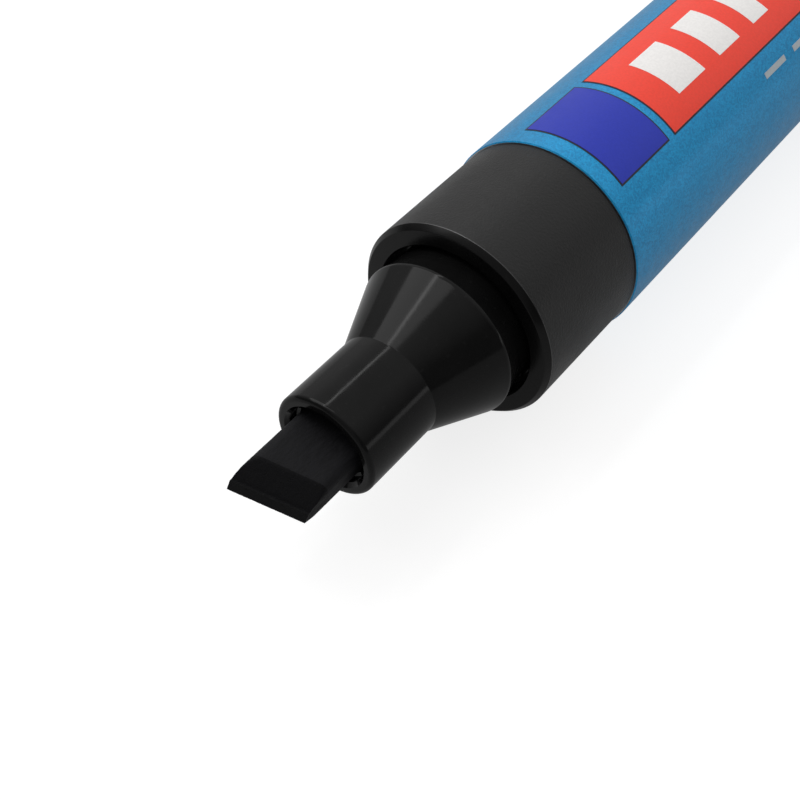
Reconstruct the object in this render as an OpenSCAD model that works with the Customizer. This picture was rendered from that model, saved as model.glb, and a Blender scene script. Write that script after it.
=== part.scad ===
// Flipchart and whiteboard marker with a chisel nib, lying on its side with its cap posted on the rear end.
// Millimetres. The axis of the pen is the X axis: the nib points to -X, the cap to +X, and +Z is up.
// The origin is on the axis, at the middle of the barrel tube.

/* [Barrel] */
// Outside diameter of the lacquered aluminium tube
barrel_d = 15.6; // [15.4:0.1:16.2]
// Length of the tube
barrel_len = 86; // [70:1:110]
// Wall of the tube
barrel_wall = 0.5; // [0.4:0.05:0.7]
// Chamfer on the tube's cut ends
barrel_chamfer = 0.12; // [0.05:0.01:0.2]

/* [Front collar] */
// Outside diameter of the matte ring in front of the tube
collar_d = 15.28; // [13.8:0.02:15.4]
// Length of the ring from its front edge to the tube
collar_len = 10.4; // [8:0.1:14]
// Length of the bevel on the ring's front edge
collar_bevel_len = 0.42; // [0.2:0.02:0.6]
// Depth of that bevel
collar_bevel_depth = 0.34; // [0.2:0.02:0.4]
// Diameter of the ring's bore, which holds the nib holder
collar_bore_d = 12.24; // [12.2:0.02:12.6]
// Length of the spigot that is pressed into the tube
collar_spigot_len = 8; // [6:0.5:10]

/* [Nib holder] */
// Diameter of the groove behind the snap bead
groove_d = 11.5; // [11:0.05:11.8]
// Diameter of the snap bead that the closed cap grips
bead_d = 12.04; // [11.9:0.02:12.1]
// Distance of the bead in front of the collar's edge
bead_ahead = 2.55; // [2:0.05:3]
// Diameter of the neck around the nib
neck_d = 7.7; // [7.4:0.1:8.4]
// Distance of the foot of the cone in front of the collar's edge
cone_foot_ahead = 7.5; // [6.5:0.1:8.5]
// Distance of the neck's mouth in front of the collar's edge
mouth_ahead = 13.95; // [12:0.05:16]
// Radius that rounds the mouth's outer edge
mouth_edge = 0.35; // [0.2:0.05:0.5]
// Diameter of the bore that the nib slides in
nib_bore_d = 5.5; // [5.4:0.05:5.8]
// Diameter of the vent grooves beside the nib
vent_d = 0.9; // [0.5:0.1:1.2]

/* [Nib] */
// Width of the flat felt nib
nib_width = 4.9; // [4.5:0.05:5.0]
// Thickness of the flat felt nib
nib_thick = 2.9; // [2.4:0.05:3.0]
// Radius of the nib's long edges
nib_edge = 0.7; // [0.5:0.05:0.9]
// Distance of the middle of the writing edge in front of the collar's edge
tip_ahead = 19.15; // [17:0.05:22]
// Thickness of the writing edge
tip_thick = 0.8; // [0.5:0.05:1.2]
// How far the writing edge's lower side leads its upper side
tip_rake = 0.18; // [0:0.02:0.4]
// Slant of the writing edge, in degrees
tip_slant = 17; // [0:1:30]
// Length of the two bevels that thin the nib to its edge
bevel_len = 1.8; // [1.2:0.1:3]
// Turn of the nib about its axis, in degrees
nib_roll = 13; // [-45:1:45]
// Length of the whole nib
nib_len = 38; // [34:0.5:42]

/* [Ink reservoir] */
// Diameter of the fibre core with its film
reservoir_d = 12.2; // [11:0.1:12.4]
// Thickness of the film around the core
film_wall = 0.12; // [0.08:0.01:0.2]
// Depth of the socket that the nib's tail fills
socket_depth = 11; // [10:0.5:14]

/* [End plug] */
// Length of the plug's shoulder between tube and cap
shoulder_len = 2.5; // [1.5:0.1:4]
// Length of the plug inside the tube
plug_depth = 7; // [5:0.5:9]
// Diameter of the spigot that the cap is posted on
post_d = 12.04; // [11.9:0.02:12.1]
// Length of that spigot
post_len = 8; // [6:0.5:8.5]

/* [Cap] */
// Length of the cap
cap_len = 40; // [38:1:46]
// Diameter of the cap's mouth
cap_mouth_d = 12.14; // [12.12:0.02:12.2]
// Depth of the cap's mouth, in front of the inner liner
cap_mouth_depth = 9; // [8.8:0.1:10]
// Outside diameter of the inner liner
liner_d = 11.2; // [10.6:0.1:11.4]
// Wall of the inner liner
liner_wall = 0.7; // [0.5:0.05:1]
// Diameter of the liner's lip, which seals on the neck
lip_d = 7.76; // [7.74:0.02:7.9]
// Thickness of the cap's closed end
cap_end = 1.8; // [1.4:0.1:2.4]
// Radius that rounds the cap's closed end
cap_round = 1.4; // [0.8:0.1:2]
// Number of grip ribs around the cap's mouth
grip_ribs = 24; // [12:1:36]
// Length of the six-sided stretch at the cap's closed end, which stops the pen from rolling
hex_len = 12; // [8:1:18]
// Diameter over that stretch's rounded corners
hex_corner_d = 16.8; // [16.4:0.1:17.6]

/* [Clip] */
// Width of the clip
clip_w = 4.4; // [3.6:0.1:5]
// Height of the clip's back over the pen's axis
clip_top = 10.75; // [10.2:0.05:11.2]
// Thickness of the clip's arm
clip_thick = 1.4; // [1.4:0.1:1.8]
// Gap between the clip's free end and the cap's mouth
clip_short = 5; // [3:0.5:10]
// Chamfer along the clip's back
clip_chamfer = 0.4; // [0.2:0.05:0.6]

/* [Hidden] */
$fn = 96;

barrel_r = barrel_d / 2;
barrel_bore_r = barrel_r - barrel_wall;
collar_r = collar_d / 2;
collar_bore_r = collar_bore_d / 2;

// Depths, radii and edges that stay the same on every size of pen
holder_depth = 8;            // how far the nib holder reaches into the collar
recess_depth = 1;            // ring-shaped recess between the collar's front edge and the nib holder
groove_ahead = 1;            // front end of the groove, ahead of the collar's edge
end_gap = 0.4;               // play at both ends of the reservoir
guide_depth = 2;             // rear end of the nib's guide, behind the collar's edge
bead_round = 0.5;            // radius of the soft edge between bead and cone
bead_start = 70;             // angle at which the bead's arc rises out of the groove, in degrees
foot_round = 0.25;           // radius of the fillet at the cone's foot
mouth_flat_r = 3.2;          // inner edge of the mouth's flat ring
mouth_step_r = 2.95;         // wider first step inside the mouth
mouth_chamfer = 0.3;         // depth of the chamfer between that flat ring and the step
mouth_step_depth = 0.9;      // depth at which the step ends
mouth_step_taper = 0.1;      // length of the taper from the step to the nib's bore
guide_taper = 1;             // length of the taper behind the nib's guide
collar_bore_chamfer = 0.12;  // chamfer around the mouth of the ring's bore
vent_turn = 31;              // turn of the two vent grooves about the axis, below the horizontal
holder_cavity_r = 4.6;       // hollow behind the nib's guide
collar_hollow_r = 6.35;      // the collar's spigot is wider inside, around the reservoir
lead_len = 1;                // length of the tapers that lead the spigots into the tube
lead_in = 0.25;              // depth of those tapers
tail_taper = 2;              // length of the two bevels on the nib's tail
plug_wall = 1.2;             // wall of the plug inside the tube
plug_floor = 2;              // thickness of the wall that closes the pen
shoulder_round = 0.2;        // radius of the shoulder's edge next to the cap
post_round = 0.6;            // radius of the post's end
post_hollow_r = 4.6;         // hollow of the post, open to the cap
fin_width = 1;               // width of the four ribs that stiffen the plug
fin_inner_r = 3.5;           // radius at which the ribs end
fin_sink = 0.25;             // how far the ribs run into the plug's wall
mouth_lead = 0.25;           // rounded inner edge of the cap's mouth
mouth_outer = 0.4;           // rounded outer edge of the cap's mouth
flats = 6;                   // number of flats on the cap
hex_bevel = 0.8;             // length of the bevels at both ends of the six-sided stretch
clip_turn = 30;              // turn of the clip below the horizontal, to the middle of a flat
rib_cut_r = 0.5;             // radius of the grooves between the grip ribs
rib_cut_out = 0.25;          // height of those grooves' axes over the cap's surface
rib_start = 1.5;             // front end of the grooves, behind the mouth
rib_len = 3;                 // length of the grooves
clip_root_len = 5;           // length of the clip's root on the cap
clip_root_sink = 0.6;        // how far the root is let into the cap's wall
clip_fillet = 1;             // fillet between the root and the arm's underside
clip_heel_round = 3;         // radius of the clip's back over its root
clip_nose_round = 0.7;       // radius of the free end's upper edge
clip_bump_r = 1.1;           // radius of the bump under the free end
clip_bump_x = 2.2;           // distance of the bump from the free end
clip_bump_tilt = 20;         // angle at which the bump's arc leaves the arm's underside
clip_heel_end = 20;          // angle at which the heel's arc ends
clip_bump_run = 4.5;         // distance from the free end at which the arm's underside is straight
liner_lip_round = 0.4;       // radius of the liner's sealing lip
liner_lip_len = 0.9;         // end of the lip's straight bore
liner_lip_taper = 1.6;       // end of the taper behind the lip
cut_past = 0.01;             // how far a cutting shape runs past the face that it cuts

// Stations along the axis
barrel_front = -barrel_len / 2;
barrel_rear = barrel_len / 2;
collar_front = barrel_front - collar_len;
spigot_rear = barrel_front + collar_spigot_len;
bead_x = collar_front - bead_ahead;
cone_foot_x = collar_front - cone_foot_ahead;
mouth_x = collar_front - mouth_ahead;
tip_x = collar_front - tip_ahead;
guide_rear = collar_front + guide_depth;
holder_rear = collar_front + holder_depth;
recess_rear = collar_front + recess_depth;
reservoir_front = holder_rear + end_gap;
plug_front = barrel_rear - plug_depth;
reservoir_rear = plug_front - end_gap;
cap_front = barrel_rear + shoulder_len;
cap_rear = cap_front + cap_len;
liner_front = cap_front + cap_mouth_depth;
liner_rear = cap_rear - cap_end;

// Points of an arc about (cx, cy), from angle a0 to a1
function arc(cx, cy, r, a0, a1, steps = 6) =
    [for (i = [0:steps]) let (a = a0 + (a1 - a0) * i / steps) [cx + r * cos(a), cy + r * sin(a)]];

// Turns an outline of [station, radius] points about the X axis
module lathe(outline) {
    rotate([0, 90, 0])
        rotate_extrude()
            polygon([for (p = outline) [p[1], p[0]]]);
}

// A cylinder along X from station x0 to x1
module rod(x0, x1, r) {
    translate([x0, 0, 0])
        rotate([0, 90, 0])
            cylinder(r = r, h = x1 - x0);
}

module barrel_tube() {
    color("#1f7db4")
        lathe([[barrel_front, barrel_bore_r],
               [barrel_front, barrel_r - barrel_chamfer],
               [barrel_front + barrel_chamfer, barrel_r],
               [barrel_rear - barrel_chamfer, barrel_r],
               [barrel_rear, barrel_r - barrel_chamfer],
               [barrel_rear, barrel_bore_r]]);
}

// The ring's bevelled front edge ends in a flat face, on which the closed cap stops
module front_collar() {
    face_x = collar_front - collar_bevel_len;
    color("#141416")
        lathe([[face_x, collar_bore_r + collar_bore_chamfer],
               [face_x, collar_r - collar_bevel_depth],
               [collar_front, collar_r],
               [barrel_front, collar_r],
               [barrel_front, barrel_bore_r],
               [spigot_rear - lead_len, barrel_bore_r],
               [spigot_rear, barrel_bore_r - lead_in],
               [spigot_rear, collar_hollow_r],
               [holder_rear, collar_hollow_r],
               [holder_rear, collar_bore_r],
               [face_x + collar_bore_chamfer, collar_bore_r]]);
}

// Groove, snap bead, cone, neck and mouth in one outline. Two vent grooves run beside the nib.
module nib_holder() {
    cone_angle = atan2(bead_d / 2 - neck_d / 2, cone_foot_ahead - bead_ahead);
    bead_r = bead_d / 2;
    neck_r = neck_d / 2;
    bead_run = bead_round * sin(cone_angle);
    foot_run = foot_round * tan(cone_angle / 2);
    bore_r = nib_bore_d / 2;
    color("#0c0c0e")
        difference() {
            lathe(concat(
                [[holder_rear, holder_cavity_r],
                 [holder_rear, collar_bore_r],
                 [recess_rear, collar_bore_r],
                 [recess_rear, groove_d / 2],
                 [collar_front - groove_ahead, groove_d / 2]],
                arc(bead_x + bead_run, bead_r - bead_round, bead_round, bead_start, 90 + cone_angle),
                arc(cone_foot_x - foot_run, neck_r + foot_round, foot_round, cone_angle - 90, -90, 4),
                arc(mouth_x + mouth_edge, neck_r - mouth_edge, mouth_edge, 90, 180),
                [[mouth_x, mouth_flat_r],
                 [mouth_x + mouth_chamfer, mouth_step_r],
                 [mouth_x + mouth_step_depth, mouth_step_r],
                 [mouth_x + mouth_step_depth + mouth_step_taper, bore_r],
                 [guide_rear, bore_r],
                 [guide_rear + guide_taper, holder_cavity_r]]));
            for (side = [0, 180])
                rotate([side + vent_turn, 0, 0])
                    translate([0, -bore_r, 0])
                        rod(mouth_x + mouth_chamfer, guide_rear, vent_d / 2);
        }
}

// A flat felt rod with rounded long edges. Two bevels thin it to a slanted writing edge, and two shorter
// ones ease its tail into the reservoir.
module nib() {
    half_w = nib_width / 2;
    half_t = nib_thick / 2;
    half_tip = tip_thick / 2;
    reach = nib_len;
    inner_w = half_w - nib_edge;
    inner_t = half_t - nib_edge;
    tail_x = tip_x + nib_len;
    color("#1b1b1d")
        rotate([nib_roll, 0, 0])
            intersection() {
                translate([tip_x - reach, 0, 0])
                    rotate([90, 0, 90])
                        linear_extrude(nib_len + reach)
                            polygon(concat(
                                arc(inner_w, inner_t, nib_edge, 0, 90),
                                arc(-inner_w, inner_t, nib_edge, 90, 180),
                                arc(-inner_w, -inner_t, nib_edge, 180, 270),
                                arc(inner_w, -inner_t, nib_edge, 270, 360)));
                translate([tip_x, 0, 0])
                    rotate([90, 0, tip_slant])
                        linear_extrude(2 * reach, center = true)
                            polygon([[-tip_rake / 2, -half_tip],
                                     [tip_rake / 2, half_tip],
                                     [bevel_len, half_t],
                                     [nib_len + reach, half_t],
                                     [nib_len + reach, -half_t],
                                     [bevel_len, -half_t]]);
                rotate([90, 0, 0])
                    linear_extrude(reach, center = true)
                        polygon([[tip_x - reach, half_t],
                                 [tail_x - tail_taper, half_t],
                                 [tail_x, half_tip],
                                 [tail_x, -half_tip],
                                 [tail_x - tail_taper, -half_t],
                                 [tip_x - reach, -half_t]]);
            }
}

module reservoir_core() {
    core_r = reservoir_d / 2 - film_wall;
    color("#3a3a40")
        difference() {
            rod(reservoir_front, reservoir_rear, core_r);
            rod(reservoir_front - cut_past, reservoir_front + socket_depth, nib_bore_d / 2);
        }
}

module reservoir_film() {
    film_r = reservoir_d / 2;
    color("#d8dde2")
        lathe([[reservoir_front, film_r - film_wall],
               [reservoir_front, film_r],
               [reservoir_rear, film_r],
               [reservoir_rear, film_r - film_wall]]);
}

// A hollow plug: pressed into the tube, with a shoulder as wide as the cap and a post that the cap goes on
module end_plug() {
    post_r = post_d / 2;
    post_rear = cap_front + post_len;
    inner_r = barrel_bore_r - plug_wall;
    floor_front = cap_front - plug_floor / 2;
    floor_rear = cap_front + plug_floor / 2;
    color("#141416") {
        lathe(concat(
            [[plug_front, inner_r],
             [plug_front, barrel_bore_r - lead_in],
             [plug_front + lead_len, barrel_bore_r],
             [barrel_rear, barrel_bore_r],
             [barrel_rear, collar_r]],
            arc(cap_front - shoulder_round, collar_r - shoulder_round, shoulder_round, 90, 0, 3),
            [[cap_front, post_r]],
            arc(post_rear - post_round, post_r - post_round, post_round, 90, 0, 4),
            [[post_rear, post_hollow_r],
             [floor_rear, post_hollow_r],
             [floor_rear, 0],
             [floor_front, 0],
             [floor_front, inner_r]]));
        for (turn = [0:90:270])
            rotate([turn, 0, 0])
                translate([plug_front, -fin_width / 2, fin_inner_r])
                    cube([cap_front - plug_front, fin_width, inner_r + fin_sink - fin_inner_r]);
    }
}

// The cap is a stepped cup with grip ribs behind its mouth, six flats at its closed end and a moulded clip.
// The clip stands on the flat next to the one that the pen rests on.
module cap_shell() {
    mouth_r = cap_mouth_d / 2;
    well_r = liner_d / 2;
    color("#141416") {
        difference() {
            lathe(concat(
                arc(cap_front + mouth_lead, mouth_r + mouth_lead, mouth_lead, 270, 180, 3),
                arc(cap_front + mouth_outer, collar_r - mouth_outer, mouth_outer, 180, 90, 4),
                arc(cap_rear - cap_round, collar_r - cap_round, cap_round, 90, 0),
                [[cap_rear, 0],
                 [liner_rear, 0],
                 [liner_rear, well_r],
                 [liner_front, well_r],
                 [liner_front, mouth_r]]));
            for (i = [0:grip_ribs - 1])
                rotate([i * 360 / grip_ribs, 0, 0])
                    translate([0, 0, collar_r + rib_cut_out])
                        rod(cap_front + rib_start, cap_front + rib_start + rib_len, rib_cut_r);
        }
        cap_flats(well_r);
        rotate([90 + clip_turn, 0, 0])
            clip(cap_front + clip_short);
    }
}

// Six flats as far from the axis as the barrel's surface, so that the pen lies level on one of them
module cap_flats(well_r) {
    rear = cap_rear - cap_round;
    front = rear - hex_len;
    corner_r = hex_corner_d / 2;
    difference() {
        intersection() {
            translate([front, 0, 0])
                rotate([90, 0, 90])
                    linear_extrude(hex_len)
                        circle(r = barrel_r / cos(180 / flats), $fn = flats);
            lathe([[front, 0],
                   [front, collar_r],
                   [front + hex_bevel, corner_r],
                   [rear - hex_bevel, corner_r],
                   [rear, collar_r],
                   [rear, 0]]);
        }
        rod(front - cut_past, liner_rear, well_r);
    }
}

// The clip stands over +Z: a root on the cap's closed end, an arm along the cap and a bump at its free end
module clip(clip_front) {
    half_w = clip_w / 2;
    arm_under = clip_top - clip_thick;
    root_rear = cap_rear - cap_round;
    root_front = root_rear - clip_root_len;
    root_r = collar_r - clip_root_sink;
    nose_r = clip_top - clip_nose_round;
    heel_r = clip_top - clip_heel_round;
    intersection() {
        rotate([90, 0, 0])
            linear_extrude(clip_w, center = true)
                polygon(concat(
                    [[root_rear, root_r],
                     [root_front, root_r],
                     [root_front, arm_under - clip_fillet]],
                    arc(root_front - clip_fillet, arm_under - clip_fillet, clip_fillet, 0, 90, 4),
                    [[clip_front + clip_bump_run, arm_under]],
                    arc(clip_front + clip_bump_x, arm_under, clip_bump_r,
                        360 - clip_bump_tilt, 180 + clip_bump_tilt),
                    [[clip_front, arm_under + clip_nose_round]],
                    arc(clip_front + clip_nose_round, nose_r, clip_nose_round, 180, 90, 4),
                    arc(root_rear - clip_heel_round, heel_r, clip_heel_round, 90, clip_heel_end)));
        rotate([90, 0, 90])
            linear_extrude(cap_rear + barrel_len)
                polygon([[-half_w, 0],
                         [half_w, 0],
                         [half_w, clip_top - clip_chamfer],
                         [half_w - clip_chamfer, clip_top],
                         [-half_w + clip_chamfer, clip_top],
                         [-half_w, clip_top - clip_chamfer]]);
    }
}

// A soft cup inside the cap: its lip seals on the neck of the nib holder when the cap is closed
module cap_liner() {
    outer_r = liner_d / 2;
    inner_r = outer_r - liner_wall;
    lip_r = lip_d / 2;
    color("#e8e8e4")
        lathe(concat(
            arc(liner_front + liner_lip_round, lip_r + liner_lip_round, liner_lip_round, 270, 180, 4),
            [[liner_front, outer_r],
             [liner_rear, outer_r],
             [liner_rear, 0],
             [liner_rear - liner_wall, 0],
             [liner_rear - liner_wall, inner_r],
             [liner_front + liner_lip_taper, inner_r],
             [liner_front + liner_lip_len, lip_r]]));
}

barrel_tube();
front_collar();
nib_holder();
nib();
reservoir_core();
reservoir_film();
end_plug();
cap_shell();
cap_liner();
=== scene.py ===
"""A flipchart marker with a chisel nib on a pale studio floor, its cap posted on the rear end.

Stations and radii are in millimetres. Stations run along the pen's axis (+X, towards the cap) from the
middle of the barrel. They are turned into metres where the meshes are made.
"""
import math

import bmesh
import bpy
from mathutils import Matrix, Vector, noise


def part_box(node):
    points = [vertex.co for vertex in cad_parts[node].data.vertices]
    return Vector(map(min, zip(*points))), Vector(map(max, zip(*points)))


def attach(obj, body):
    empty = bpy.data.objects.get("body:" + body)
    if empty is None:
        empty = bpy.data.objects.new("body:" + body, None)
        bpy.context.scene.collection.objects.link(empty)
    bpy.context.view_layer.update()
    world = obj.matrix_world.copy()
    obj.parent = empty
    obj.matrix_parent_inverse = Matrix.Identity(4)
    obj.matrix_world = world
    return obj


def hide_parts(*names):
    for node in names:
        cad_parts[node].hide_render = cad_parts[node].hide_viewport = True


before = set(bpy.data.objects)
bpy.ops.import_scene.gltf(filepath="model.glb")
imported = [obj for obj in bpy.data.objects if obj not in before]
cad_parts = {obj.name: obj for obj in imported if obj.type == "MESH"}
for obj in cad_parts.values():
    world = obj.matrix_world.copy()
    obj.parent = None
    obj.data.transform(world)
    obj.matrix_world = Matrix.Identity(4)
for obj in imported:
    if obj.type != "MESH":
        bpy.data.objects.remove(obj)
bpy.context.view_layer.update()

MM = 0.001
FINE = 384          # segments around the parts that the camera is close to
NOSE_SEGMENTS = 480 # segments around the nose, whose vent grooves need more
RIBBED = 576        # segments around the cap, whose grip ribs need more

# Sizes that several pieces share and that the CAD boxes don't give
WALL = 0.5                  # wall of the barrel tube
COLLAR_BEVEL = 0.42         # length of the bevel on the collar's front edge
COLLAR_BEVEL_DEPTH = 0.34
COLLAR_BORE = 6.12          # radius of the collar's bore, which the nose fills
COLLAR_HOLLOW = 6.35        # radius of the collar's spigot inside, around the reservoir
HOLDER_DEPTH = 8            # how far the nose reaches into the collar
HOLLOW = 4.6                # radius of the hollows behind the nib's guide and in the post
SNAP = 6.02                 # radius of the snap bead and of the post, which the cap grips
LEAD_LENGTH = 1             # tapers that lead the spigots into the barrel
LEAD_DEPTH = 0.25
CAP_ROUND = 1.4             # radius that rounds the cap's closed end


# ---------------------------------------------------------------- meshes

def span(node):
    """First and last station of a CAD node, in millimetres."""
    low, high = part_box(node)
    return low[0] / MM, high[0] / MM


def radius_of(node):
    """Half the height of a round CAD node, in millimetres."""
    low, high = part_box(node)
    return (high[2] - low[2]) / 2 / MM


def arc(cx, cy, r, start, end, steps=10):
    """Points of an arc about (cx, cy), from one angle to another in degrees."""
    angles = [math.radians(start + (end - start) * i / steps) for i in range(steps + 1)]
    return [(cx + r * math.cos(a), cy + r * math.sin(a)) for a in angles]


def run(x0, x1, r0, r1, steps):
    """Points along a straight stretch of an outline."""
    return [(x0 + (x1 - x0) * i / steps, r0 + (r1 - r0) * i / steps) for i in range(steps + 1)]


def add_piece(name, mesh, materials, body, slot, *nodes, sharp=32):
    """Makes a mesh into a named piece that rides on a body and stands for its CAD nodes."""
    piece = bpy.data.objects.new(name, mesh)
    bpy.context.scene.collection.objects.link(piece)
    for material in materials:
        mesh.materials.append(material)
    mesh.shade_smooth()
    mesh.set_sharp_from_angle(angle=math.radians(sharp))
    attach(piece, body)
    if nodes:
        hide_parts(*nodes)
    return piece


def lathe(name, outline, segments=FINE, carve=None):
    """Turns a closed outline of (station, radius) points about the X axis.

    carve(x, r, angle) may change the radius of a point.
    """
    bm = bmesh.new()
    rings = []
    for i in range(segments):
        angle = 2 * math.pi * i / segments
        ring = []
        for x, r in outline:
            if carve:
                r = carve(x, r, angle)
            ring.append(bm.verts.new((x * MM, -r * MM * math.cos(angle), r * MM * math.sin(angle))))
        rings.append(ring)
    count = len(outline)
    for i in range(segments):
        near = rings[i]
        far = rings[(i + 1) % segments]
        for j in range(count):
            k = (j + 1) % count
            bm.faces.new((near[j], near[k], far[k], far[j]))
    bmesh.ops.remove_doubles(bm, verts=bm.verts, dist=1e-7)
    bmesh.ops.dissolve_degenerate(bm, edges=bm.edges, dist=1e-8)
    bmesh.ops.recalc_face_normals(bm, faces=bm.faces)
    mesh = bpy.data.meshes.new(name)
    bm.to_mesh(mesh)
    bm.free()
    return mesh


def assign(mesh, index, test):
    """Gives the faces whose centre passes test(x, r) in millimetres the material of that index."""
    for face in mesh.polygons:
        x, y, z = face.center / MM
        if test(x, math.hypot(y, z)):
            face.material_index = index


def soft_min(a, b, k):
    """The smaller of a and b, rounded over a width of k where they cross."""
    h = max(k - abs(a - b), 0) / k
    return min(a, b) - h * h * k / 4


# ---------------------------------------------------------------- materials

class Shader:
    """A Principled material with short calls to add nodes and links."""

    def __init__(self, name, color, roughness, **inputs):
        self.material = bpy.data.materials.new(name)
        self.material.use_nodes = True
        self.tree = self.material.node_tree
        self.main = self.tree.nodes["Principled BSDF"]
        self.set("Base Color", (*color, 1))
        self.set("Roughness", roughness)
        for key, value in inputs.items():
            self.set(key.replace("_", " "), value)
        self.place = self.node("TexCoord").outputs["Object"]

    def set(self, key, value):
        self.main.inputs[key].default_value = value

    def node(self, kind, **inputs):
        made = self.tree.nodes.new("ShaderNode" + kind)
        for key, value in inputs.items():
            self.feed(made.inputs[key.replace("_", " ")], value)
        return made

    def feed(self, socket, value):
        if isinstance(value, bpy.types.NodeSocket):
            self.tree.links.new(value, socket)
        else:
            socket.default_value = value

    def scaled(self, x, y, z):
        """Object coordinates stretched by a factor on each axis."""
        return self.node("Mapping", Vector=self.place, Scale=(x, y, z)).outputs[0]

    def noise(self, scale, detail=2.0, rough=0.5, vector=None):
        place = vector or self.place
        return self.node("TexNoise", Vector=place, Scale=scale, Detail=detail, Roughness=rough).outputs["Fac"]

    def between(self, value, low, high, out_low, out_high):
        """value mapped from one range to another, and held at its ends."""
        made = self.node("MapRange", Value=value)
        for key, number in zip(("From Min", "From Max", "To Min", "To Max"), (low, high, out_low, out_high)):
            made.inputs[key].default_value = number
        return made.outputs[0]

    def mix(self, factor, a, b):
        made = self.tree.nodes.new("ShaderNodeMix")
        made.data_type = "RGBA"
        self.feed(made.inputs["Factor"], factor)
        self.feed(made.inputs[6], (*a, 1) if isinstance(a, tuple) else a)
        self.feed(made.inputs[7], (*b, 1) if isinstance(b, tuple) else b)
        return made.outputs[2]

    def bump(self, height, distance, strength=1.0, normal=None):
        made = self.node("Bump", Height=height, Distance=distance, Strength=strength)
        if normal:
            self.feed(made.inputs["Normal"], normal)
        return made.outputs[0]

    def link(self, key, socket):
        self.feed(self.main.inputs[key], socket)


def barrel_lacquer():
    """Blue metallic lacquer: fine flakes of uneven brightness and tilt under a clear coat."""
    m = Shader("barrel_lacquer", (0.006, 0.28, 0.60), 0.38,
               Metallic=0.55, Coat_Weight=0.12, Coat_Roughness=0.2)
    flakes = m.node("TexVoronoi", Vector=m.place, Scale=9000.0)
    flake = m.node("SeparateColor", Color=flakes.outputs["Color"]).outputs[0]
    shade = m.mix(flake, (0.003, 0.215, 0.48), (0.008, 0.355, 0.70))
    cloud = m.between(m.noise(260.0, 3.0), 0.3, 0.7, 0.0, 0.3)
    m.link("Base Color", m.mix(cloud, shade, (0.006, 0.29, 0.59)))
    m.link("Roughness", m.between(m.noise(900.0, 4.0), 0.3, 0.7, 0.34, 0.44))
    m.link("Normal", m.bump(flake, 0.00001, 0.3, m.bump(m.noise(3500.0, 2.0), 0.00002, 0.35)))
    return m.material


def bare_aluminium():
    """The tube's cut edge: bare metal with turning marks around the axis."""
    m = Shader("bare_aluminium", (0.55, 0.56, 0.57), 0.34, Metallic=1.0)
    marks = m.noise(1.0, 2.0, vector=m.scaled(24000.0, 600.0, 600.0))
    m.link("Roughness", m.between(marks, 0.3, 0.7, 0.28, 0.44))
    m.link("Normal", m.bump(marks, 0.00001, 0.4))
    return m.material


def black_plastic(name, level, low, high, grain, depth, **inputs):
    """Black moulded plastic: grain is its texture's scale per metre, depth the texture's depth in metres."""
    m = Shader(name, (level, level, level * 1.06), (low + high) / 2, **inputs)
    texture = m.noise(grain, 3.0, 0.6)
    patches = m.noise(350.0, 4.0, 0.6)
    dust = m.between(m.noise(2600.0, 1.0), 0.68, 0.76, 0.0, 0.25)
    tone = m.mix(m.between(patches, 0.3, 0.7, 0.0, 1.0), (level * 0.8,) * 3, (level * 1.25,) * 3)
    m.link("Base Color", m.mix(dust, tone, (level * 2.2 + 0.004,) * 3))
    m.link("Roughness", m.between(patches, 0.3, 0.7, low, high))
    m.link("Normal", m.bump(texture, depth, 1.0))
    return m.material


def felt(name, dark, light):
    """Ink-soaked pressed fibre: strands along the pen and a nap at the surface."""
    m = Shader(name, light, 0.7, Specular_IOR_Level=0.12)
    strands = m.noise(1.0, 4.0, 0.65, vector=m.scaled(1400.0, 9000.0, 9000.0))
    nap = m.noise(14000.0, 2.0)
    m.link("Base Color", m.mix(m.between(strands, 0.35, 0.7, 0.0, 1.0), dark, light))
    m.link("Roughness", m.between(strands, 0.3, 0.7, 0.5, 0.75))
    m.link("Normal", m.bump(nap, 0.00004, 0.7, m.bump(strands, 0.00002, 0.5)))
    return m.material


def print_ink(name, color):
    """Screen-printed ink: nearly even, with a fine mottle and tiny pinholes."""
    m = Shader(name, color, 0.4, Coat_Weight=0.1, Coat_Roughness=0.2, Specular_IOR_Level=0.25)
    mottle = m.between(m.noise(5200.0, 3.0), 0.35, 0.65, 0.0, 1.0)
    darker = tuple(c * 0.93 for c in color)
    m.link("Base Color", m.mix(mottle, darker, color))
    m.link("Roughness", m.between(m.noise(900.0, 3.0), 0.3, 0.7, 0.33, 0.45))
    m.link("Normal", m.bump(m.noise(7000.0, 2.0), 0.00001, 0.5))
    return m.material


def pale_plastic():
    """Soft off-white moulding of the cap's liner."""
    m = Shader("liner_plastic", (0.72, 0.72, 0.69), 0.42, Subsurface_Weight=0.15, Subsurface_Scale=0.0008)
    tone = m.between(m.noise(420.0, 4.0), 0.3, 0.7, 0.0, 1.0)
    m.link("Base Color", m.mix(tone, (0.66, 0.66, 0.62), (0.76, 0.76, 0.73)))
    m.link("Roughness", m.between(tone, 0.0, 1.0, 0.36, 0.5))
    m.link("Normal", m.bump(m.noise(3000.0, 3.0), 0.00001, 0.6))
    return m.material


def ink_fibre():
    """The reservoir's bundle of polyester fibres, dark with ink."""
    m = Shader("reservoir_fibre", (0.03, 0.03, 0.04), 0.8, Sheen_Weight=0.3)
    strands = m.noise(1.0, 5.0, 0.7, vector=m.scaled(250.0, 9000.0, 9000.0))
    soaked = m.between(strands, 0.3, 0.7, 0.0, 1.0)
    m.link("Base Color", m.mix(soaked, (0.012, 0.012, 0.02), (0.07, 0.07, 0.09)))
    m.link("Normal", m.bump(strands, 0.0001, 0.8))
    return m.material


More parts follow.
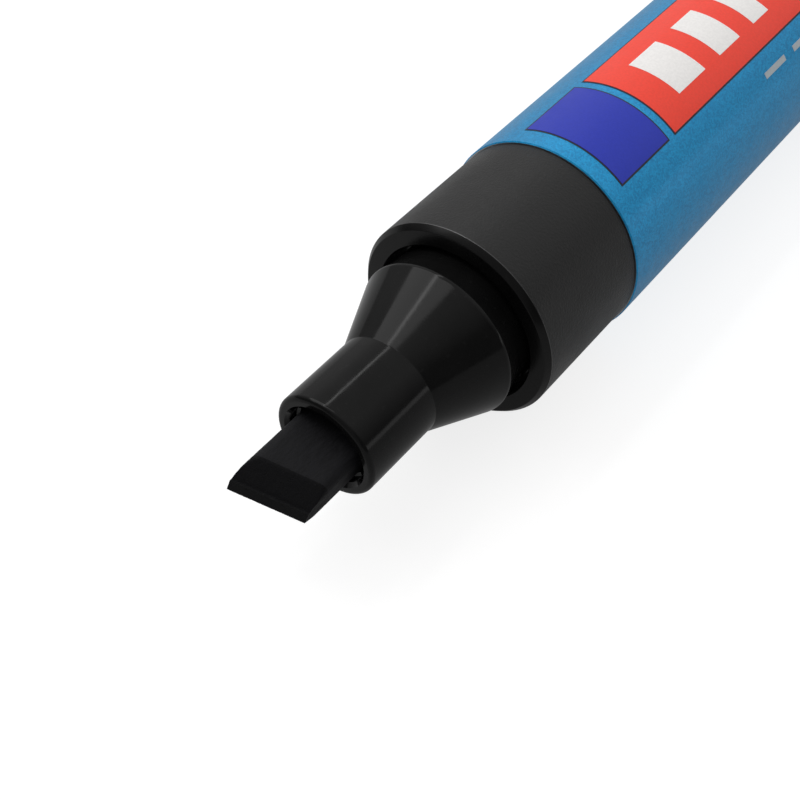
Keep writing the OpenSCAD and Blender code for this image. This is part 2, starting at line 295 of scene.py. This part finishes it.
def clear_film():
    """Thin clear film around the fibre bundle, slightly wrinkled."""
    m = Shader("reservoir_wrap", (0.85, 0.87, 0.9), 0.12, Alpha=0.35)
    wrinkles = m.noise(1.0, 3.0, 0.5, vector=m.scaled(120.0, 900.0, 900.0))
    m.link("Roughness", m.between(wrinkles, 0.3, 0.7, 0.08, 0.2))
    m.link("Base Color", m.mix(wrinkles, (0.78, 0.8, 0.84), (0.9, 0.92, 0.94)))
    m.link("Normal", m.bump(wrinkles, 0.0001, 0.5))
    return m.material


COLLAR = black_plastic("collar_plastic", 0.005, 0.36, 0.46, 6000.0, 0.00004, Specular_IOR_Level=0.32)
COLLAR_FACE = black_plastic("collar_face", 0.003, 0.2, 0.28, 1600.0, 0.000004, Specular_IOR_Level=0.18)
# The crest's plastic is paler than the collar's: a painted highlight. Its strong reflection catches the lamps
# as well.
COLLAR_CREST_HIGHLIGHT = black_plastic("collar_crest_highlight", 0.012, 0.22, 0.36, 1600.0, 0.00003, Specular_IOR_Level=0.8)
NOSE = black_plastic("nose_plastic", 0.0055, 0.10, 0.16, 1600.0, 0.000003, Specular_IOR_Level=0.14)
PLUG = black_plastic("plug_plastic", 0.012, 0.34, 0.44, 5000.0, 0.000008)
CAP = black_plastic("cap_plastic", 0.010, 0.26, 0.36, 5000.0, 0.000007)
LACQUER = barrel_lacquer()
BARE = bare_aluminium()
FELT = felt("nib_felt", (0.006, 0.006, 0.0068), (0.014, 0.014, 0.016))
# The bevel's felt is a darker copy of the nib's felt: painted shade on the facet that faces away from the
# lamps.
FELT_PAINTED_SHADE = felt("nib_felt_painted_shade", (0.0012, 0.0012, 0.0015), (0.0035, 0.0035, 0.0045))
LINER = pale_plastic()
FIBRE = ink_fibre()
FILM = clear_film()
RED = print_ink("ink_red", (0.98, 0.058, 0.030))
BLUE = print_ink("ink_blue", (0.014, 0.032, 0.46))
WHITE = print_ink("ink_white", (0.95, 0.93, 0.91))
GREY = print_ink("ink_grey", (0.50, 0.55, 0.58))
DARK = print_ink("ink_dark", (0.012, 0.014, 0.03))


# ---------------------------------------------------------------- barrel and its prints

barrel_front, barrel_rear = span("barrel_tube")
barrel_r = radius_of("barrel_tube")
collar_front = span("front_collar")[0] + COLLAR_BEVEL
collar_r = radius_of("end_plug")     # the collar, the plug's shoulder and the cap have one radius
RIM = 0.08          # chamfer on the tube's cut ends, which the lacquer covers


def build_barrel():
    inner = barrel_r - WALL
    outline = ([(barrel_front, inner), (barrel_front, barrel_r - RIM)]
               + [(barrel_front + RIM, barrel_r), (barrel_rear - RIM, barrel_r)]
               + [(barrel_rear, barrel_r - RIM), (barrel_rear, inner)])
    mesh = lathe("barrel", outline)
    assign(mesh, 1, lambda x, r: r < barrel_r - RIM)
    add_piece("barrel", mesh, [LACQUER, BARE], "pen", "barrel_lacquer", "barrel_tube")


INK = 0.018             # thickness of a printed layer
PRINT_STEP = 0.25       # largest edge of a print's mesh around the barrel
PRINT_LENGTH = 1.0      # and along it
OUTLINE = 0.14          # width of the dark line around a field

# Printed fields: first and last station behind the collar's front edge, then degrees up from -Y
BLOCK = (12.1, 18.2, 53.0, 113.0)
PANEL = (19.2, 66.0, 53.0, 112.0)
BAR_COUNT = 5
BAR_START = 3.0         # distance of the first bar from the panel's front edge
BAR_WIDTH = 3.8         # width of the first bar
BAR_STEP = 0.7          # how much narrower each next bar is
BAR_GAP = 2.2
BAR_ANGLES = (66.0, 98.0)
DASH_COUNT = 4
DASH_START = 31.0
DASH_LENGTH = 3.2
DASH_PITCH = 4.6
DASH_ANGLES = (38.0, 41.5)


def print_patch(name, x0, x1, a0, a1, level, material):
    """A thin layer of ink between two stations and two angles on the barrel. level counts layers."""
    top = barrel_r + INK * level
    bottom = barrel_r - INK
    across = max(2, math.ceil((x1 - x0) / PRINT_LENGTH))
    around = max(2, math.ceil(math.radians(a1 - a0) * barrel_r / PRINT_STEP))

    def point(i, j, r):
        x = x0 + (x1 - x0) * i / across
        a = math.radians(a0 + (a1 - a0) * j / around)
        return (x * MM, -r * MM * math.cos(a), r * MM * math.sin(a))

    bm = bmesh.new()
    grids = [[[bm.verts.new(point(i, j, r)) for j in range(around + 1)] for i in range(across + 1)]
             for r in (top, bottom)]
    for grid in grids:
        for i in range(across):
            for j in range(around):
                bm.faces.new((grid[i][j], grid[i + 1][j], grid[i + 1][j + 1], grid[i][j + 1]))
    upper, lower = ([g[i][0] for i in range(across + 1)] + g[across][1:]
                    + [g[i][around] for i in range(across - 1, -1, -1)] + g[0][around - 1:0:-1]
                    for g in grids)
    for i in range(len(upper)):
        k = (i + 1) % len(upper)
        bm.faces.new((upper[i], upper[k], lower[k], lower[i]))
    bmesh.ops.recalc_face_normals(bm, faces=bm.faces)
    mesh = bpy.data.meshes.new(name)
    bm.to_mesh(mesh)
    bm.free()
    add_piece(name, mesh, [material], "pen", "barrel_lacquer", sharp=60)


def build_prints():
    """Two outlined fields, white bars of falling width as a sign for line widths, and grey dashes."""
    tilt = math.degrees(OUTLINE / barrel_r)
    for name, field, ink in (("block", BLOCK, BLUE), ("panel", PANEL, RED)):
        x0 = collar_front + field[0]
        x1 = collar_front + field[1]
        a0, a1 = field[2:]
        print_patch("print_%s_edge" % name, x0 - OUTLINE, x1 + OUTLINE, a0 - tilt, a1 + tilt, 1, DARK)
        print_patch("print_%s_field" % name, x0, x1, a0, a1, 2, ink)
    start = collar_front + PANEL[0] + BAR_START
    for i in range(BAR_COUNT):
        width = BAR_WIDTH - BAR_STEP * i
        print_patch("print_bar_%d" % i, start, start + width, *BAR_ANGLES, 3, WHITE)
        start += width + BAR_GAP
    for i in range(DASH_COUNT):
        dash = collar_front + DASH_START + DASH_PITCH * i
        print_patch("print_dash_%d" % i, dash, dash + DASH_LENGTH, *DASH_ANGLES, 1, GREY)


build_barrel()
build_prints()


# ---------------------------------------------------------------- front collar

def build_collar():
    """A matte ring with a glossy bevel and face. The crest between ring and bevel has a paler, more
    reflective plastic: the paler colour is a painted highlight, and the strong reflection catches the lamps.
    """
    face, rear = span("front_collar")
    inner = barrel_r - WALL
    slope = math.degrees(math.atan2(COLLAR_BEVEL, COLLAR_BEVEL_DEPTH))
    crest = 0.08
    tuck = crest * 0.4
    bore_chamfer = 0.12
    rear_chamfer = 0.1
    straight_front = collar_front + 0.4
    holder_rear = collar_front + HOLDER_DEPTH
    outline = ([(face, COLLAR_BORE + bore_chamfer)]
               + arc(face + crest, collar_r - COLLAR_BEVEL_DEPTH - tuck, crest, 180, 180 - slope, 4)
               + arc(collar_front + tuck, collar_r - crest, crest, 180 - slope, 90, 4)
               + run(straight_front, barrel_front - rear_chamfer, collar_r, collar_r, 24)
               + [(barrel_front, collar_r - rear_chamfer), (barrel_front, inner)]
               + [(rear - LEAD_LENGTH, inner), (rear, inner - LEAD_DEPTH), (rear, COLLAR_HOLLOW)]
               + [(holder_rear, COLLAR_HOLLOW), (holder_rear, COLLAR_BORE)]
               + [(face + bore_chamfer, COLLAR_BORE)])
    mesh = lathe("collar", outline)
    assign(mesh, 1, lambda x, r: x < collar_front)
    # The crest takes the paler plastic, which is a painted highlight.
    assign(mesh, 2, lambda x, r: abs(x - collar_front) < crest and r > collar_r - crest)
    add_piece("collar", mesh, [COLLAR, COLLAR_FACE, COLLAR_CREST_HIGHLIGHT], "pen", "collar_plastic", "front_collar")


build_collar()


# ---------------------------------------------------------------- nib holder

def build_nose():
    """Groove, snap bead, cone, neck and mouth in one outline, with two vent grooves beside the nib."""
    mouth, rear = span("nib_holder")
    front = rear - HOLDER_DEPTH
    neck = 3.85
    foot = front - 7.5
    bead = front - 2.55
    groove = 5.75
    groove_reach = 1
    slope = math.atan2(SNAP - neck, bead - foot)
    angle = math.degrees(slope)
    bead_round = 0.5
    bead_start = 70
    bead_run = bead_round * math.sin(slope)
    foot_round = 0.25
    foot_run = foot_round * math.tan(slope / 2)
    edge = 0.35
    mouth_flat = 3.2
    step = 2.95
    chamfer = 0.3
    step_rear = 0.9
    taper_rear = 1.0
    bore = 2.75
    vent = 0.45
    vent_turn = math.radians(31)
    guide_rear = front + 2
    guide_taper = 1

    def carve(x, r, a):
        """The two vent grooves beside the nib."""
        if r > bore + 0.05 or x > guide_rear:
            return r
        off = (a + vent_turn + math.pi / 2) % math.pi - math.pi / 2
        across = bore * math.sin(off)
        if abs(across) >= vent:
            return r
        return max(r, bore * math.cos(off) + math.sqrt(vent * vent - across * across))

    outline = ([(rear, HOLLOW), (rear, COLLAR_BORE), (front + groove_reach, COLLAR_BORE)]
               + [(front + groove_reach, groove), (front - groove_reach, groove)]
               + arc(bead + bead_run, SNAP - bead_round, bead_round, bead_start, 90 + angle)
               + arc(foot - foot_run, neck + foot_round, foot_round, angle - 90, -90)
               + arc(mouth + edge, neck - edge, edge, 90, 180)
               + [(mouth, mouth_flat), (mouth + chamfer, step), (mouth + step_rear, step)]
               + [(mouth + taper_rear, bore), (guide_rear, bore), (guide_rear + guide_taper, HOLLOW)])
    mesh = lathe("nose", outline, NOSE_SEGMENTS, carve)
    add_piece("nose", mesh, [NOSE], "pen", "nose_plastic", "nib_holder")


build_nose()


# ---------------------------------------------------------------- nib

def build_nib():
    """A flat rod of felt: rings run from its slanted writing edge to its tail, roughened along the fibres."""
    half_w = 2.45
    half_t = 1.45
    edge = 0.7
    half_tip = 0.4
    rake = 0.09
    bevel = 1.8
    slant = math.radians(17)
    roll = math.radians(13)
    tip = collar_front - 19.15
    tail = tip + 38
    taper = 2
    edge_blend = 0.01       # share of the length over which the writing edge's rake fades
    strand_depth = 0.012
    nap_depth = 0.008
    lowered = 0.007         # the roughened surface lies this much under the smooth one

    side = run(-half_w + edge, half_w - edge, 0, 0, 36)
    rise = run(-half_t + edge, half_t - edge, 0, 0, 14)
    corner = [(edge * math.cos(a), edge * math.sin(a)) for a in (math.pi / 2 * i / 8 for i in range(1, 8))]
    section = [(y, half_t) for y, _ in side]
    section += [(half_w - edge + s, half_t - edge + c) for c, s in corner]
    section += [(half_w, -z) for z, _ in rise]
    section += [(half_w - edge + c, -half_t + edge - s) for c, s in corner]
    section += [(-y, -half_t) for y, _ in side]
    section += [(-half_w + edge - s, -half_t + edge - c) for c, s in corner]
    section += [(-half_w, z) for z, _ in rise]
    section += [(-half_w + edge - c, half_t - edge + s) for c, s in corner]

    def place(y, z, w, shrink=1.0):
        """A point of the section (y, z) at share w of the way from the writing edge to the tail."""
        front = tip - y * math.tan(slant)
        x = front + (tail - front) * w
        ahead = (x - tip) * math.cos(slant) + y * math.sin(slant)
        upper = half_tip + (half_t - half_tip) * (ahead - rake) / (bevel - rake)
        lower = half_tip + (half_t - half_tip) * (ahead + rake) / (bevel + rake)
        behind = half_tip + (half_t - half_tip) * (tail - x) / taper
        limit = soft_min(upper if z > 0 else lower, behind, 0.1)
        z = math.copysign(soft_min(abs(z), max(limit, half_tip), 0.12), z) * shrink
        if w < edge_blend:
            x += rake * z / half_tip * (1 - w / edge_blend)
        return Vector((x, y, z))

    near = 8.5 / (tail - tip)       # share of the length that gets close rings
    close = 72
    wide = 36
    stations = [near * i / close for i in range(close + 1)]
    stations += [near + (1 - near) * i / wide for i in range(1, wide + 1)]
    closing = (0.0, 0.3, 0.6, 0.85, 0.97)
    rings = [[place(y, z, 0, k) for y, z in section] for k in closing]
    rings += [[place(y, z, w) for y, z in section] for w in stations]
    rings += [[place(y, z, 1, k) for y, z in section] for k in reversed(closing)]
    bm = bmesh.new()
    rows = [[bm.verts.new(p) for p in ring] for ring in rings]
    for low, high in zip(rows, rows[1:]):
        for j in range(len(section)):
            k = (j + 1) % len(section)
            bm.faces.new((low[j], low[k], high[k], high[j]))
    bmesh.ops.remove_doubles(bm, verts=bm.verts, dist=1e-4)
    bmesh.ops.dissolve_degenerate(bm, edges=bm.edges, dist=1e-5)
    bmesh.ops.recalc_face_normals(bm, faces=bm.faces)
    bm.normal_update()
    moves = []
    for vertex in bm.verts:
        p = vertex.co
        strand = noise.noise(Vector((p.x * 0.9, p.y * 7, p.z * 7)))
        nap = noise.noise(p * 5.5 + Vector((7, 3, 1)))
        moves.append(vertex.normal * (strand_depth * strand + nap_depth * nap - lowered))
    for vertex, move in zip(bm.verts, moves):
        vertex.co += move
    bmesh.ops.rotate(bm, cent=(0, 0, 0), matrix=Matrix.Rotation(roll, 3, "X"), verts=bm.verts)
    bmesh.ops.scale(bm, vec=(MM, MM, MM), verts=bm.verts)
    mesh = bpy.data.meshes.new("felt_nib")
    bm.to_mesh(mesh)
    bm.free()
    # Faces on the bevel take the darker felt, which is painted shade.
    for face in mesh.polygons:
        x, y, z = face.center / MM
        across = y * math.cos(roll) + z * math.sin(roll)
        if (x - tip) * math.cos(slant) + across * math.sin(slant) < bevel:
            face.material_index = 1
    add_piece("felt_nib", mesh, [FELT, FELT_PAINTED_SHADE], "nib", "nib_felt", "nib", sharp=60)


build_nib()


# ---------------------------------------------------------------- end plug

cap_front, cap_rear = span("cap_shell")


def build_plug():
    """The plug's skirt in the barrel, its shoulder and the hollow post that carries the cap."""
    front, rear = span("end_plug")
    tube = barrel_r - WALL
    inner = tube - 1.2
    chamfer = 0.06
    shoulder_round = 0.2
    post_round = 0.6
    half_floor = 1
    outline = ([(front, inner), (front, tube - LEAD_DEPTH), (front + LEAD_LENGTH, tube), (barrel_rear, tube)]
               + [(barrel_rear, collar_r - chamfer), (barrel_rear + chamfer, collar_r)]
               + arc(cap_front - shoulder_round, collar_r - shoulder_round, shoulder_round, 90, 0)
               + [(cap_front, SNAP)]
               + arc(rear - post_round, SNAP - post_round, post_round, 90, 0)
               + [(rear, HOLLOW), (cap_front + half_floor, HOLLOW), (cap_front + half_floor, 0)]
               + [(cap_front - half_floor, 0), (cap_front - half_floor, inner)])
    add_piece("rear_plug", lathe("rear_plug", outline), [PLUG], "pen", "plug_plastic", "end_plug")


build_plug()


# ---------------------------------------------------------------- cap, clip and liner

def build_cap():
    """A cup with grip ribs behind its mouth and six flats at its closed end."""
    outer = collar_r
    mouth = 6.07
    mouth_lead = 0.25
    mouth_outer = 0.4
    well = 5.6
    liner_front, liner_rear = span("cap_liner")
    flats_rear = cap_rear - CAP_ROUND
    flats_front = flats_rear - 12
    bevel = 0.8
    corner = 8.4
    rib_count = 24
    rib_front = cap_front + 1.5
    rib_rear = cap_front + 4.5
    cut = 0.5
    cut_out = 0.25
    rib_fade = 0.3
    blend = 0.12

    def carve(x, r, a):
        if r < outer - 0.01:
            return r
        if rib_front <= x <= rib_rear:
            pitch = 2 * math.pi / rib_count
            off = (a + pitch / 2) % pitch - pitch / 2
            across = outer * math.sin(off)
            if abs(across) < cut:
                groove = (outer + cut_out) * math.cos(off) - math.sqrt(cut * cut - across * across)
                fade = min(1, (x - rib_front) / rib_fade, (rib_rear - x) / rib_fade)
                return r - max(0, outer - groove) * math.sin(fade * math.pi / 2)
            return r
        if flats_front <= x <= flats_rear:
            sector = math.pi / 3
            off = (a + math.pi / 2 + sector / 2) % sector - sector / 2
            return soft_min(r, barrel_r / math.cos(off), blend)
        return r

    outline = (arc(cap_front + mouth_lead, mouth + mouth_lead, mouth_lead, 270, 180, 6)
               + arc(cap_front + mouth_outer, outer - mouth_outer, mouth_outer, 180, 90)
               + run(rib_front, rib_rear, outer, outer, 30)
               + run(rib_rear + 0.15, flats_front - 0.1, outer, outer, 24)
               + run(flats_front, flats_front + bevel, outer, corner, 8)
               + run(flats_front + bevel, flats_rear - bevel, corner, corner, 12)[1:]
               + run(flats_rear - bevel, flats_rear, corner, outer, 8)[1:]
               + arc(flats_rear, outer - CAP_ROUND, CAP_ROUND, 90, 0, 16)[1:]
               + [(cap_rear, 0), (liner_rear, 0), (liner_rear, well)]
               + [(liner_front, well), (liner_front, mouth)])
    add_piece("cap", lathe("cap", outline, RIBBED, carve), [CAP], "cap", "cap_plastic", "cap_shell")


def build_clip():
    """The moulded clip: its side outline is extruded, bevelled and turned onto its flat."""
    top = 10.75
    under = top - 1.4
    half = 2.2
    front = cap_front + 5
    rear = cap_rear - CAP_ROUND
    root = rear - 5
    root_r = collar_r - 0.6
    fillet = 1
    nose = 0.7
    heel = 3
    bump = 1.1
    bump_x = 2.2
    bump_run = 4.5
    outline = ([(rear - 0.1, root_r), (root, root_r), (root, under - fillet)]
               + arc(root - fillet, under - fillet, fillet, 0, 90, 6)
               + [(front + bump_run, under)]
               + arc(front + bump_x, under, bump, 340, 200, 10)
               + [(front, under + nose)]
               + arc(front + nose, top - nose, nose, 180, 90, 6)
               + arc(rear - heel, top - heel, heel, 90, 20, 10))
    turn = Matrix.Rotation(math.radians(120), 3, "X")
    bm = bmesh.new()
    side = [bm.verts.new(Vector((x, -half, h)) * MM) for x, h in outline]
    face = bm.faces.new(side)
    moved = bmesh.ops.extrude_face_region(bm, geom=[face])["geom"]
    for vertex in moved:
        if isinstance(vertex, bmesh.types.BMVert):
            vertex.co.y = half * MM
    bmesh.ops.recalc_face_normals(bm, faces=bm.faces)
    rims = [e for e in bm.edges if abs(e.verts[0].co.y - e.verts[1].co.y) < 1e-9]
    bmesh.ops.bevel(bm, geom=rims, offset=0.35 * MM, segments=4, profile=0.5, affect="EDGES")
    bmesh.ops.rotate(bm, cent=(0, 0, 0), matrix=turn, verts=bm.verts)
    mesh = bpy.data.meshes.new("clip")
    bm.to_mesh(mesh)
    bm.free()
    add_piece("clip", mesh, [CAP], "cap", "cap_plastic")


def build_liner():
    front, rear = span("cap_liner")
    outer = radius_of("cap_liner")
    wall = 0.7
    inner = outer - wall
    lip = 3.88
    lip_round = 0.4
    lip_rear = 0.9
    taper_rear = 1.6
    outline = (arc(front + lip_round, lip + lip_round, lip_round, 270, 180)
               + [(front, outer), (rear, outer), (rear, 0), (rear - wall, 0), (rear - wall, inner)]
               + [(front + taper_rear, inner), (front + lip_rear, lip)])
    add_piece("inner_cap", lathe("inner_cap", outline), [LINER], "cap", "liner_plastic", "cap_liner")


build_cap()
build_clip()
build_liner()

for node, material in (("reservoir_core", FIBRE), ("reservoir_film", FILM)):
    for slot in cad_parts[node].material_slots:
        slot.material = material


# ---------------------------------------------------------------- floor, light and camera

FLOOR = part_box("barrel_tube")[0][2]
FLOOR_WHITE = 0.81      # how bright the floor looks before the lights reach it
FLOOR_GLOW = 0.22       # how much of that it throws back at the pen


def build_floor():
    bm = bmesh.new()
    bmesh.ops.create_grid(bm, x_segments=8, y_segments=8, size=3.0)
    bmesh.ops.translate(bm, verts=bm.verts, vec=(0, 0, FLOOR))
    mesh = bpy.data.meshes.new("floor")
    bm.to_mesh(mesh)
    bm.free()
    floor = bpy.data.objects.new("floor", mesh)
    bpy.context.scene.collection.objects.link(floor)
    m = Shader("floor_paint", (0.3, 0.3, 0.3), 0.9, Specular_IOR_Level=0.0)
    m.set("Emission Color", (1, 1, 1, 1))
    m.link("Base Color", m.mix(m.noise(60.0, 4.0), (0.29, 0.29, 0.29), (0.31, 0.31, 0.31)))
    seen = m.node("LightPath").outputs["Is Camera Ray"]
    m.link("Emission Strength", m.between(seen, 0.0, 1.0, FLOOR_GLOW, FLOOR_WHITE))
    mesh.materials.append(m.material)


def area_light(name, position, target, width, height, radiance):
    """A rectangular lamp that the camera doesn't see. radiance is its brightness per area, not its power."""
    data = bpy.data.lights.new(name, "AREA")
    data.shape = "RECTANGLE"
    data.size = width
    data.size_y = height
    data.energy = radiance * math.pi * width * height
    light = bpy.data.objects.new(name, data)
    bpy.context.scene.collection.objects.link(light)
    light.visible_camera = False
    light.location = position
    light.rotation_euler = (Vector(target) - Vector(position)).to_track_quat("-Z", "Y").to_euler()


def build_world():
    """A studio surround that is brighter overhead and behind the cap. The backdrop itself is plain white."""
    world = bpy.data.worlds.new("studio")
    world.use_nodes = True
    tree = world.node_tree
    surround = tree.nodes["Background"]
    place = tree.nodes.new("ShaderNodeTexCoord")
    toward = tree.nodes.new("ShaderNodeVectorMath")
    toward.operation = "DOT_PRODUCT"
    toward.inputs[1].default_value = Vector((0.5, 0.2, 0.85)).normalized()
    ramp = tree.nodes.new("ShaderNodeValToRGB")
    tree.links.new(place.outputs["Generated"], toward.inputs[0])
    tree.links.new(toward.outputs["Value"], ramp.inputs[0])
    tree.links.new(ramp.outputs[0], surround.inputs[0])
    ramp.color_ramp.elements[0].color = (0.12, 0.12, 0.12, 1)
    ramp.color_ramp.elements[0].position = 0.2
    ramp.color_ramp.elements[1].color = (0.85, 0.85, 0.85, 1)
    ramp.color_ramp.elements[1].position = 0.75
    backdrop = tree.nodes.new("ShaderNodeBackground")
    backdrop.inputs[0].default_value = (1, 1, 1, 1)
    rays = tree.nodes.new("ShaderNodeLightPath")
    choose = tree.nodes.new("ShaderNodeMixShader")
    tree.links.new(rays.outputs["Is Camera Ray"], choose.inputs[0])
    tree.links.new(surround.outputs[0], choose.inputs[1])
    tree.links.new(backdrop.outputs[0], choose.inputs[2])
    tree.links.new(choose.outputs[0], tree.nodes["World Output"].inputs[0])
    bpy.context.scene.world = world


def build_camera():
    azimuth = math.radians(-52.32)
    elevation = math.radians(48.80)
    back = Vector((math.sin(azimuth) * math.cos(elevation), -math.cos(azimuth) * math.cos(elevation),
                   math.sin(elevation)))
    right = Vector((math.cos(azimuth), math.sin(azimuth), 0))
    up = back.cross(right)
    aside = 3.807           # how far the collar's front edge lies right of the picture's middle
    above = 5.350           # and above it
    distance = 85.807
    aim = Vector((collar_front, 0, 0)) - aside * right - above * up
    data = bpy.data.cameras.new("camera")
    data.lens = 57.31
    data.sensor_width = 36
    data.clip_start = 0.005
    data.clip_end = 20
    camera = bpy.data.objects.new("camera", data)
    bpy.context.scene.collection.objects.link(camera)
    camera.location = (aim + distance * back) * MM
    camera.rotation_euler = Matrix((right, up, back)).transposed().to_euler()
    bpy.context.scene.camera = camera


build_floor()
build_world()
build_camera()
area_light("key", (-0.1, 0.42, 0.52), (-0.02, 0, 0), 0.5, 0.4, 2.0)
area_light("fill", (-0.53, -0.18, 0.25), (-0.02, 0, 0), 0.6, 0.5, 0.2)
area_light("side", (0.35, -0.57, 0.05), (-0.03, 0, 0), 0.4, 0.09, 1.4)
area_light("strip", (0.15, 0.33, 0.72), (0.15, 0, 0), 0.8, 0.05, 5.0)
area_light("overhead", (-0.13, 0.15, 0.72), (-0.06, 0, 0), 0.16, 0.28, 2.0)
bpy.context.scene.view_settings.view_transform = "Standard"
